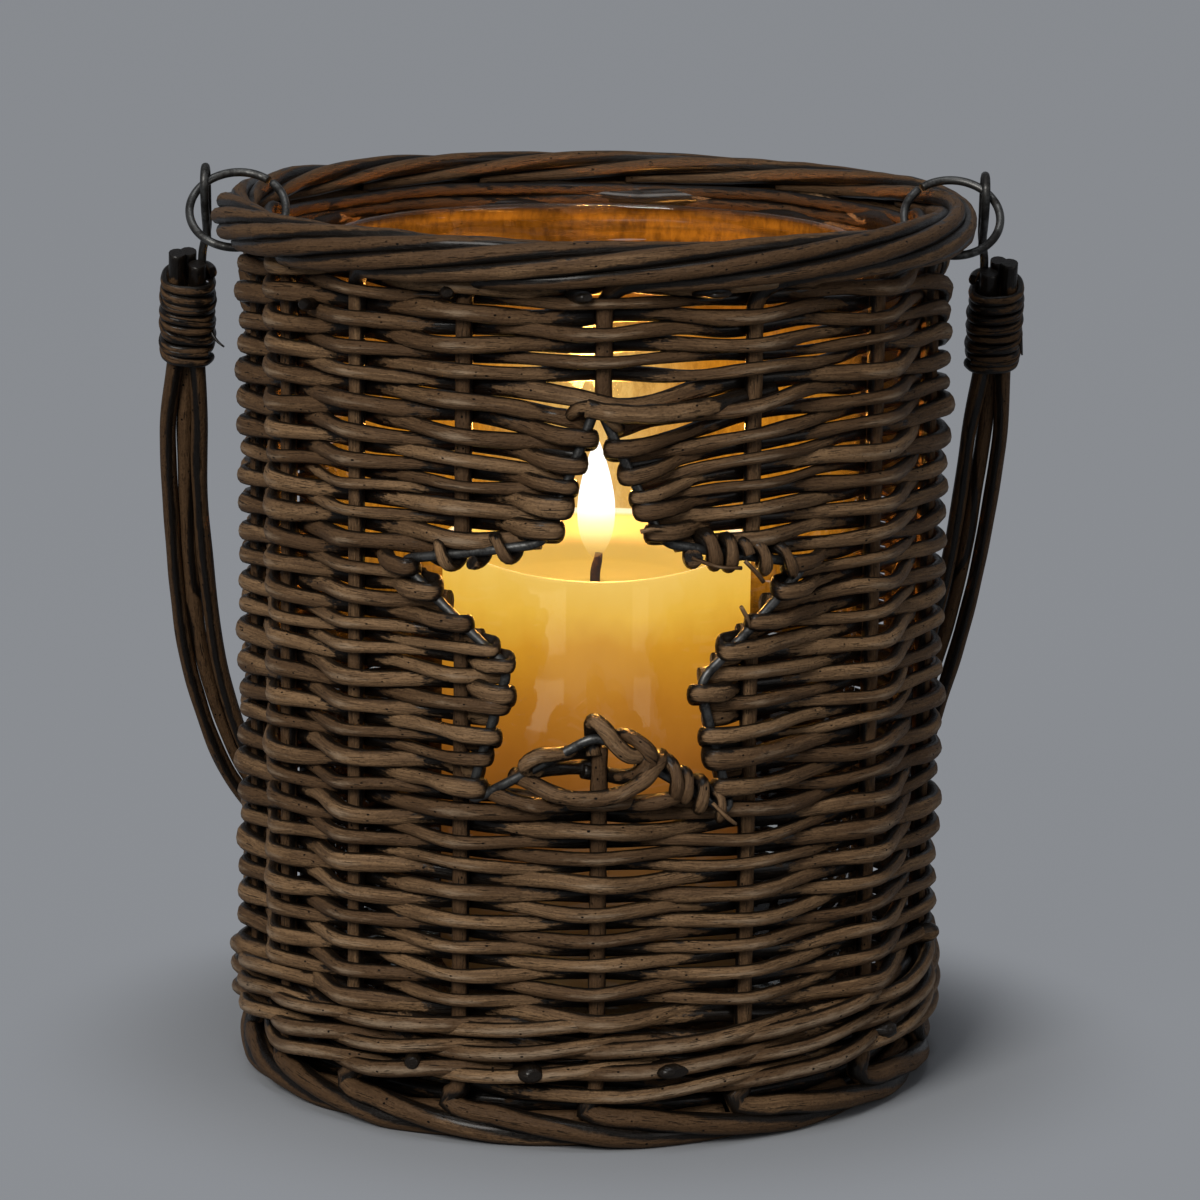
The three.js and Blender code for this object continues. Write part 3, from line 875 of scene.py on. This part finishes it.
def makeWale():
    # Three rods at a time: each passes two stakes in front and one behind, so its reach is a cosine
    # over three stakes, and the next row starts one stake on
    rods = []
    dice = np.random.default_rng(23)
    count = np.linspace(-halfRound, halfRound, stakes * siding["steps"] + 1)
    angle = stakeAngle(count)
    length = wall * angle
    thin, thick = wale["radius"]
    for row in range(wale["rows"]):
        phase = 2 * np.pi * (count - 0.5 - row) / 3
        swing = np.cos(phase)
        radius = evened(thick - (thick - thin) * ((count / stakes + dice.uniform()) % 1), np.ones(7))
        reach = wall + wale["out"] + wale["swing"] * swing + wander(length, 0.3, 50, 40 + row)
        height = wale["low"] + wale["pitch"] * (row + 0.4 * count / stakes) + wale["rise"] * np.sin(phase)
        path = around(reach, angle, height + wander(length, 0.3, 50, 60 + row))
        radius = radius * (1.04 + 0.3 * np.maximum(-swing, 0))
        # Darker where a rod runs in behind a stake: stain and painted shade
        rods.append(asRod(path, radius, dice.uniform(), 0.2 - 0.5 * swing))
    return weldRods("upsett_wale_rods", rods, "basket", ("upsett_wale",))


makeWale()


# Woven base

base = {"height": 16.5, "reach": 81.5, "sticks": 10, "stick": 1.2, "rod": 1.3, "first": 7.0, "pitch": 2.75,
        "swing": 1.25}


def makeBase():
    # Ten sticks across the middle and rods wound round them in rings, over one stick and under the next
    rods = []
    dice = np.random.default_rng(31)
    for turn in np.pi * np.arange(base["sticks"]) / base["sticks"]:
        path = around(np.linspace(-base["reach"], base["reach"], 60), turn, base["height"])
        rods.append(asRod(path, base["stick"], dice.uniform(), 0.2, facing=-upward))
    angle = np.linspace(0, 2 * np.pi * 1.004, 161)
    for ring, reach in enumerate(np.arange(base["first"], base["reach"], base["pitch"])):
        swing = np.cos(base["sticks"] * angle + np.pi * ring)
        path = around(reach + 0.3 * np.sin(3 * angle + ring), angle, base["height"] + base["swing"] * swing)
        # A ring is darker where it rises over a stick, away from its underside: stain and painted shade
        rods.append(asRod(path, base["rod"], dice.uniform(), 0.5 + 0.4 * swing, facing=-upward))
    return weldRods("base_weave", rods, "basket", ("base_disc",), 8)


makeBase()
print("wale and base are woven")


# Star wire and the rods wound on it

starLine = starOutline(420)
starPath = onWall(starLine[:, 0], starLine[:, 1], star["circle"])
# Twists on the wire: where they start and end across and up, turns, rod radius, first angle
starTwists = rowsOf(
    "from to turns rod phase",
    ((-41, 147.5), (-29, 149.5), 1.6, 1.75, 2.0),
    ((-29, 149.5), (-15, 152), 1.7, 1.7, 0.6),
    ((25, 152), (38, 149.5), 2.9, 2.15, 0.3),
    ((36, 149.5), (53, 147), 2.1, 1.9, 1.4),
    ((13.5, 99.2), (35, 86), 2.7, 2.0, 0.9),
    ((20, 95), (36, 85.6), 1.8, 1.7, 3.6),
)
# Rods and splinters laid one by one under the star, at its tip and on its arms: across, up and out from the
# axis
laidRods = rowsOf(
    "rod line",
    (2.1, [(1.4, 100.5, 88), (1, 106.2, 87.2), (1.4, 109.6, 90.2), (3.6, 108.6, 93.4), (6.4, 104.6, 93.7),
           (10, 101.6, 93.2), (14, 101.4, 91.6), (16.6, 99, 88)]),
    (1.9, [(-1.5, 96, 86), (4, 95, 84.2), (9, 95.3, 88.5), (13, 98, 92.6), (14.8, 101.6, 94),
           (12.4, 104.6, 92.9), (8.6, 105.8, 89), (5, 104, 86.4)]),
    (2.05, [(-19, 94.8, 87.4), (-13, 93.6, 91.2), (-8, 91.8, 93), (0.4, 90.8, 93.6), (8.8, 92.6, 93.3),
            (13.6, 96, 93.6), (16.6, 99.4, 92.6), (18.2, 100.6, 88.8)]),
    (1.9, [(4, 100.2, 84.4), (-1.2, 100.8, 85.2), (-7.4, 101.2, 90.6), (-12, 101.2, 93.6),
           (-15, 98.8, 92.6), (-14.2, 96.3, 89), (-8.6, 97, 87), (-2, 96.6, 84.4), (5, 97.2, 84)]),
    (2.3, [(50, 188.6, 84), (40, 187.6, 85.4), (30, 186.6, 88.6), (20, 186, 92), (10, 186, 94.2),
           (3, 186.6, 94.8), (-1.2, 187.4, 94.2)]),
    (1.7, [(-5, 184.6, 87.6), (-3.4, 186.6, 91.4), (-0.4, 187.6, 93.4), (2.6, 186.4, 93.6),
           (5.2, 183.6, 92.4), (6.6, 181.4, 88.4)]),
    (0.5, [(24, 150.4, 93.4), (30, 148.2, 95), (36, 147.4, 94.6)]),
    (0.55, [(37, 149, 94.2), (39.6, 146, 95.4), (41.6, 143.6, 94.8)]),
    (0.5, [(40.6, 131, 90.8), (38.4, 134.6, 92.8), (36.6, 137.6, 93.2)]),
    (0.6, [(19, 157, 92.6), (14.5, 158, 94.6), (11.5, 157.4, 94.8)]),
    (0.55, [(30, 89, 93.6), (33, 85.6, 95.4), (35.4, 83.6, 95)]),
    (1.95, [(-27, 90.4, 87), (-22, 90, 90), (-15, 88.6, 91), (-7, 87.6, 88.4), (2, 87.4, 84.4),
            (11, 88.2, 88.4), (20, 90.2, 91.8), (26, 91.4, 88)]),
)


def makeStarWire():
    rods = [asRod(starPath, star["wire"], 0.4, guide=outOf(starPath))]
    return weldRods("star_wire_bent", rods, "basket", ("star_wire",), 12, steel)


def makeStarRods():
    # A twist is a helix about the wire's line; the others are smooth lines through their points
    rods = []
    dice = np.random.default_rng(77)
    for twist in starTwists:
        first, last = (np.argmin(((starLine - np.array(twist[key])) ** 2).sum(1)) for key in ("from", "to"))
        core = np.linspace(first, last, int(26 * twist["turns"]))
        middle = np.stack([np.interp(core, np.arange(len(starPath)), starPath[:, i]) for i in range(3)], -1)
        along = unit(np.gradient(middle, axis=0))
        out = outOf(middle)
        third = np.cross(along, out)
        t = np.linspace(0, 1, len(core))
        turn = twist["phase"] + 2 * np.pi * twist["turns"] * (t + 0.05 * np.sin(9 * t + twist["phase"]))
        grip = star["wire"] + twist["rod"] * 0.95
        helix = middle + grip * (np.cos(turn)[:, None] * out + np.sin(turn)[:, None] * third)
        radius = twist["rod"] * (1 - 0.25 * t) * (1 + 0.1 * np.sin(3 * turn))
        # Darker where the helix turns in behind the wire: stain and painted shade
        rods.append(asRod(helix, radius, dice.uniform(), 0.55 - 0.35 * np.cos(turn), guide=along))
    for rod in laidRods:
        path = smoothLine(onWall(*np.array(rod["line"]).T), 1.2)
        count = np.arange(len(path))
        # Darker where a rod sinks in towards the glass, away from the wall's face: stain and painted shade
        sunk = 1.1 - 0.95 * soften(np.linalg.norm(path[:, :2], axis=1), 85, 91)
        radius = rod["rod"] * (1 + wander(count, 0.05, 9, len(rods)))
        stain = sunk + wander(count, 0.2, 8, 40 + len(rods))
        rods.append(asRod(path, radius, dice.uniform(), stain, guide=(0.15, 0.25, 1)))
    return weldRods("star_rods", rods, "basket")


makeStarWire()
makeStarRods()
print("star wire is dressed")


# Glass liner, candle and flame

liner = {"outer": 69.0, "inner": 66.5, "low": 19.4, "high": 216.4, "floor": 24.4, "bend": 3.0}
hub = 0.2  # radius of the small cap in the middle of a turned piece


def rounded(corners, bend, count):
    # A profile whose inner corners are bent round, by less where a side is short
    corners = np.asarray(corners, float)
    before, mid, after = corners[:-2], corners[1:-1], corners[2:]
    sides = np.minimum(np.linalg.norm(before - mid, axis=1), np.linalg.norm(after - mid, axis=1))
    bends = np.minimum(bend, 0.48 * sides)[:, None]
    return join([corners[:1], bentCorners(before, mid, after, bends, count), corners[-1:]])


def makeLiner():
    outer, inner, low, high, floor, bend = liner.values()
    corners = [(hub, low), (outer, low), (outer, high), (inner, high), (inner, floor), (hub, floor)]
    profile = rounded(corners, bend, 8)
    return turnPiece("glass_jar", profile, glass, "liner", ("glass_liner",), 128)


candle = {"radius": 40.0, "shift": 1.5, "low": 24.7, "top": 139.0, "pool": 126.5, "dip": 4.6, "bend": 2.2}
waxLook = {
    "glow": [(0.0, tint(8, 4, 2)), (0.18, tint(26, 13, 4)), (0.4, tint(86, 47, 11)),
             (0.56, tint(146, 88, 25)), (0.68, tint(176, 113, 29)), (0.8, tint(210, 147, 38)),
             (0.88, tint(238, 186, 68)), (1.0, tint(250, 208, 104))],
    "poolGlow": tint(176, 138, 54),
    "lipGlow": tint(255, 244, 214),
    "body": (tint(78, 54, 20), tint(88, 62, 26)),
    "pool": tint(30, 34, 20),
    "foot": tint(170, 138, 90),
}


def shareUp(z, low, high):
    # How far up a piece a point lies, 0 at its foot and 1 at its top
    return (z - low * millimetre) * (1 / ((high - low) * millimetre))


def makeWax():
    # Wax glows from the flame: pale at the lip, golden below it, deep amber towards the foot
    look = newFinish("glowingWax")
    spot = look.spot()
    x, y, z = look.parts(spot)
    cloud = look.noise(spot, (70, 70, 45), 3, 0.55)
    share = shareUp(z + 0.012 * (cloud - 0.5), candle["low"], candle["top"])
    x = x - candle["shift"] * millimetre
    out = (x * x + y * y) ** 0.5
    # A bright line where the lip thins out
    lip = out.eased(0.0364, 0.0374) * (1 - out.eased(0.0384, 0.0394)) * z.eased(0.127, 0.131)
    pool = (1 - out.eased(0.03, 0.0366)) * z.eased(0.12, 0.125)
    glow = look.mixed(pool * 0.6, look.ramp(share, waxLook["glow"]), waxLook["poolGlow"])
    glow = look.mixed(lip, glow, waxLook["lipGlow"])
    body = look.mixed(cloud, *waxLook["body"])
    body = look.mixed(pool * 0.95, body, waxLook["pool"])
    body = look.mixed(share.eased(0.5, 0.2), body, waxLook["foot"])
    fine = look.noise(spot, (420, 420, 260), 3)
    look.showSolid({"Base Color": body, "Roughness": 0.36 + 0.2 * cloud, "Emission Color": glow,
                    "Emission Strength": 0.97, "Normal": look.bump(0.12, 0.0004, fine + cloud)})
    return look


def candleDip(angle, height):
    # The lip has burnt lower at the front, by a bell round the front
    return candle["dip"] * np.exp(-(np.angle(np.exp(1j * angle)) ** 2)) * soften(height, 118, 138)


def makeCandle():
    radius, low, top, pool = candle["radius"], candle["low"], candle["top"], candle["pool"]
    corners = [(hub, low), (radius, low), (radius, top), (radius - 3.2, top - 1.2), (radius - 7, pool + 4.5),
               (radius - 15, pool + 0.8), (6.0, pool), (1.5, pool)]
    profile = rounded(corners, candle["bend"], 7)
    stand = np.stack([np.full(12, radius), np.linspace(low + 4, top - 4, 12)], -1)
    at = int(np.argmax(profile[:, 1] > low + 4))
    profile = join([profile[:at], stand, profile[at:]])
    return turnPiece("candle_pillar", profile, makeWax(), "pillar", ("candle",), 96,
                     (candle["shift"], 0, 0), candleDip)


wick = {"low": 118.3, "high": 133.8, "radius": 1.3, "char": tint(22, 14, 9), "thread": tint(58, 38, 20)}


def makeWick():
    look = newFinish("burntWick")
    twist = look.noise(look.spot(), (900, 900, 2200))
    colour = look.mixed(twist, wick["char"], wick["thread"])
    look.showSolid({"Base Color": colour, "Roughness": 0.9, "Normal": look.bump(0.6, 0.0003, twist),
                    "Specular IOR Level": 0.2})
    # It stands in the pool, leans over a little at the top and thins out
    height = np.linspace(wick["low"], wick["high"], 16)
    path = np.stack([candle["shift"] + 0.9 * soften(height, 128, 134) - 0.4, 0 * height, height], -1)
    rods = [asRod(path, wick["radius"] - 0.3 * soften(height, 130, 134), 0.3, guide=(0, -1, 0))]
    return weldRods("wick_thread", rods, "pillar", ("wick",), 12, look)


flame = {
    "low": 132.4,
    "high": 164.5,
    "radius": 4.9,
    "x": 1.2,
    "glow": [(0.0, tint(150, 110, 60)), (0.12, tint(240, 200, 120)), (0.32, tint(252, 236, 190)),
             (0.48, (1, 1, 1, 1)), (1.0, (1, 0.98, 0.9, 1))],
    "power": 1.6,
    "lamp": 0.8,
    "lampColour": (1.0, 0.43, 0.08),
    "lampSize": 0.006,
    "lampHeight": 0.166,
}


def makeFlame():
    look = newFinish("candleFlame")
    z = look.parts(look.spot())[2]
    share = shareUp(z, flame["low"], flame["high"])
    look.showSolid({"Base Color": (0, 0, 0, 1), "Roughness": 1.0, "Specular IOR Level": 0.0,
                    "Emission Color": look.ramp(share, flame["glow"]), "Emission Strength": flame["power"],
                    "Alpha": 0.2 + 0.8 * share.eased(0.05, 0.5)})
    # A drop: the radius is a sine of a power of the height, widest below the middle, drawn out to the tip
    t = np.linspace(0.015, 0.985, 36)
    radius = flame["radius"] * np.sin(np.pi * t**0.72) ** 0.85
    profile = np.stack([np.maximum(radius, 0.15), flame["low"] + (flame["high"] - flame["low"]) * t], -1)
    piece = turnPiece("flame", profile, look, "pillar", (), 32, (flame["x"], 0, 0))
    piece.visible_shadow = False
    lamp = bpy.data.lights.new("candleLight", "POINT")
    lamp.energy, lamp.color, lamp.shadow_soft_size = flame["lamp"], flame["lampColour"], flame["lampSize"]
    light = added("candleLight", lamp)
    light.location = (flame["x"] * millimetre, 0, flame["lampHeight"])
    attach(light, "pillar")


makeLiner()
makeCandle()
makeWick()
makeFlame()
print("glass, candle and flame are in")


# Rings

ringLook = {
    "wire": 1.1,
    "radius": 12.4,
    "foot": (92.0, -1.0, 212.6),  # the lowest point of the right ring's hoop
    "lean": 46.0,
    "split": 3.0,  # half the gap between the ends, in degrees
    "splitAt": 40,
}


def makeRing(word, side):
    # A hoop standing on its lowest point, leant back, with a split on the side away from the handle
    turn = np.radians(np.linspace(ringLook["split"], 360 - ringLook["split"], 120) + ringLook["splitAt"])
    x, y, z = ringLook["foot"]
    lean = np.radians(ringLook["lean"])
    up = ringLook["radius"] * (1 + np.cos(turn))
    x = side * (x - ringLook["radius"] * np.sin(turn))
    path = np.stack([x, y + up * np.sin(lean), z + up * np.cos(lean)], -1)
    rods = [asRod(path, ringLook["wire"], 0.5 + 0.2 * side, guide=(0, np.cos(lean), -np.sin(lean)))]
    return weldRods("ring_%s_wire" % word, rods, word + "_ring", ("ring_" + word,), 14, steel)


# Handle

handleLook = {
    "hook": (100.77, 14.23, 227.30),  # where each eye turns on its ring
    "tilt": 21.3,
    "rod": 2.22,
    "spread": (26.0, 56.0),  # how far from an end the rods begin and cease to part
    "eye": 4.15,
    "wire": 1.1,
}
handleLine = np.array([
    [-106, 20], [-107.3, 51], [-109.1, 93], [-108.2, 124], [-104.4, 156], [-95, 186], [-74, 210],
    [-40, 226.5], [0, 231.5], [38, 226], [69, 208], [84, 186], [92.4, 156], [98.8, 124], [102.6, 93],
    [105.1, 51], [105.5, 20],
])
handleRods = rowsOf(
    "bound spread start",
    ((-2.6, -1.5), (-4.2, -0.4), 0.0),
    ((2.6, -1.5), (4.2, -0.4), 3.0),
    ((0.0, 2.4), (0.0, 0.7), 1.5),
)


def swung(x, through, below):
    # Out of the handle's own plane into the basket's frame
    tilt = np.radians(handleLook["tilt"])
    x, through, below = np.broadcast_arrays(x, through, below)
    return np.stack([x, handleLook["hook"][1] + through * np.cos(tilt) + below * np.sin(tilt),
                     handleLook["hook"][2] + through * np.sin(tilt) - below * np.cos(tilt)], -1)


handleCurve = smoothLine(np.c_[handleLine, np.zeros(len(handleLine))], 0.5)[:, :2]
handlePlace = lengthAt(handleCurve)
handleLength = handlePlace[-1]
handleSide = np.gradient(handleCurve, handlePlace, axis=0)
handleBack = swung(0.0, 1.0, 0.0) - swung(0.0, 0.0, 0.0)


def inBundle(along, across, through):
    # A place in the bundle: along the handle, then across it inwards and through it backwards
    at = np.clip(along, 0, handleLength)
    x, below = (np.interp(at, handlePlace, handleCurve[:, i]) for i in range(2))
    dx, db = (np.interp(at, handlePlace, handleSide[:, i]) for i in range(2))
    return swung(x + db * across, through, below - dx * across)


def fromEnd(along, side):
    # The same distance from the handle's left or right end
    return along if side < 0 else handleLength - along


def makeHandleRods():
    # Three rods lie in a close bundle at the ends and part, with a drift of their own, between them
    rods = []
    for number, rod in enumerate(handleRods):
        along = np.linspace(rod["start"], handleLength - rod["start"], 400)
        loose = soften(np.minimum(along, handleLength - along), *handleLook["spread"])
        drifts = (wander(along, 0.3, 110, 900 + number), wander(along, 0.3, 120, 930 + number))
        across, through = (bound + (spread - bound) * loose + loose * drift
                           for bound, spread, drift in zip(rod["bound"], rod["spread"], drifts))
        radius = handleLook["rod"] * (1 - 0.1 * loose * along / handleLength)
        toEnd = np.minimum(along - along[0], along[-1] - along)
        path = inBundle(along, across, through)
        middle = inBundle(along, 0.0, 0.4)
        radius = radius * (1 + wander(along, 0.03, 26, 960 + number))
        # Dark at its cut ends; facing out from the bundle's middle lays stain and painted shade where the
        # rods touch
        stain = 0.32 + 1.2 * (1 - soften(toEnd, 1, 9))
        facing = unit(path - middle + 1e-9)
        rods.append(asRod(path, radius, -0.35 + 0.1 * number, stain, guide=handleBack, facing=facing))
    covers = ("handle_rod_outer", "handle_rod_inner", "handle_rod_back")
    return weldRods("handle_rods", rods, "handle", covers)


binding = {
    "start": 7.0,
    "turns": 8,
    "pitch": 3.0,
    "middle": (0.2, 0.45),  # centre and half size of the rounded square, across and through the handle
    "half": (6.45, 5.75),
    "square": 0.72,  # 1 winds an oval, less a squarer turn
    "wide": 1.4,
    "close": {"grow": 0.0, "radius": 1.05, "tone": -0.15, "seed": 60},
    "strip": {"grow": 0.75, "radius": 0.62, "tone": -0.5, "seed": 64},
}


def woundRod(turns, along, side, strip):
    # A helix whose cosine and sine are raised to a power below one, so that it runs round a soft square
    wave = np.stack([np.cos(2 * np.pi * turns), np.sin(2 * np.pi * turns)])
    wave = np.sign(wave) * np.abs(wave) ** binding["square"]
    place = fromEnd(along, side)
    across, through = (middle + (half + strip["grow"]) * share
                       for middle, half, share in zip(binding["middle"], binding["half"], wave))
    path = inBundle(place, across, through)
    out = unit(path - inBundle(place, *binding["middle"]))
    path = np.stack([evened(path[:, i], np.ones(7)) for i in range(3)], -1)
    radius = strip["radius"] * (1 + wander(turns, 0.12, 0.9, strip["seed"] + side))
    return asRod(path, radius, strip["tone"], 0.42, wide=binding["wide"], guide=out, facing=out)


def makeBinding(word, side):
    # Split rods wound about the bundle: one close helix, and over it a thinner strip with a few crooked
    # turns and a loose end
    start = binding["start"]
    turns = np.linspace(0, binding["turns"], 44 * binding["turns"])
    along = start + binding["pitch"] * turns + wander(turns, 0.3, 1.3, 50 + side)
    over = np.linspace(0.3, 3.9, 150)
    alongOver = start + 4 + 4.6 * over + wander(over, 0.9, 1.0, 52 + side)
    loose = np.linspace(0, 1, 12)
    across = 6.6 + 3.6 * loose * loose if side < 0 else -6.6 - 0.5 * loose
    tail = inBundle(fromEnd(start + 15 + 3 * loose, side), across, -2.0 - 4.0 * loose)
    rods = [
        woundRod(turns, along, side, binding["close"]),
        woundRod(over, alongOver, side, binding["strip"]),
        asRod(tail, 0.7 - 0.45 * loose, 0.1, 0.7, guide=handleBack),
    ]
    return weldRods("binding_%s_strip" % word, rods, "handle", ("binding_" + word,), 10)


def makeEye(word, side):
    # A shank in the bundle, a half turn over the ring's wire and a tail tucked back down
    shank = inBundle(fromEnd(np.array([26.0, 18.0, 10.0, 2.0]), side), 3.7, 2.4)
    x = side * handleLook["hook"][0]
    neck = swung(x, np.array([2.5, 3.2, 4.1]), np.array([13.5, 9.0, 4.5]))
    turn = np.linspace(0, np.pi, 15)
    loop = swung(x, handleLook["eye"] * np.cos(turn), -handleLook["eye"] * np.sin(turn))
    tail = swung(x, np.array([-4.1, -2.6, -0.9, -0.5]), np.array([4.5, 9.0, 13.0, 17.0]))
    path = smoothLine(join([shank, neck, loop, tail]), 0.8)
    rods = [asRod(path, handleLook["wire"], 0.6, guide=(1, 0, 0))]
    return weldRods("eye_%s_wire" % word, rods, "handle", ("eye_" + word,), 12, steel)


makeRing("left", -1)
makeRing("right", 1)
makeHandleRods()
for make in (makeBinding, makeEye):
    make("left", -1)
    make("right", 1)
print("rings and handle are hung")
